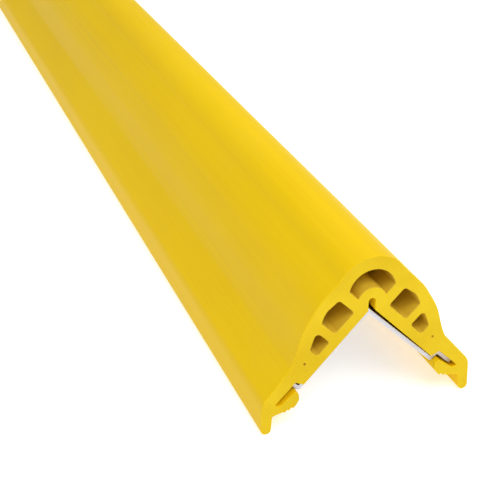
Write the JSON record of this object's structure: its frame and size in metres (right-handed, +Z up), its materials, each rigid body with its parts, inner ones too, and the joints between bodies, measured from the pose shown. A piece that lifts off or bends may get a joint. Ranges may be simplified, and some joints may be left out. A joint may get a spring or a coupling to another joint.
{
  "type": "wall corner impact guard",
  "caption": "Hollow yellow elastomer corner guard clipped over a drilled aluminium corner rail, with countersunk screws and wall plugs.",
  "frame": {"origin": "middle of the base: the centre of the rectangle between the two skirt edges that the guard stands on", "axes": "+Z up through the corner's ridge, +Y along the extrusion away from the sawn end that the picture shows, +X to the right-hand leg"},
  "size_m": [0.1096, 1, 0.0851],
  "materials": {
    "elastomer": "matt safety-yellow extruded elastomer with faint die lines, sawn at the ends",
    "rail_aluminium": "mill-finish extruded aluminium with fine lengthwise lines",
    "screw_zinc": "bright zinc plate",
    "plug_nylon": "grey moulded nylon"
  },
  "bodies": {
    "rail": {"corner_rail": "rail_aluminium", "screw_right_1": "screw_zinc", "screw_right_2": "screw_zinc", "screw_right_3": "screw_zinc", "screw_right_4": "screw_zinc", "screw_right_5": "screw_zinc", "screw_left_1": "screw_zinc", "screw_left_2": "screw_zinc", "screw_left_3": "screw_zinc", "screw_left_4": "screw_zinc", "screw_left_5": "screw_zinc", "plug_right_1": "plug_nylon", "plug_right_2": "plug_nylon", "plug_right_3": "plug_nylon", "plug_right_4": "plug_nylon", "plug_right_5": "plug_nylon", "plug_left_1": "plug_nylon", "plug_left_2": "plug_nylon", "plug_left_3": "plug_nylon", "plug_left_4": "plug_nylon", "plug_left_5": "plug_nylon"},
    "cover": {"impact_cover": "elastomer"}
  },
  "joints": [
    {"name": "cover_slide", "type": "slide", "parent": "rail", "child": "cover", "axis": [0, 1, 0], "range_m": [0, 1]}
  ]
}
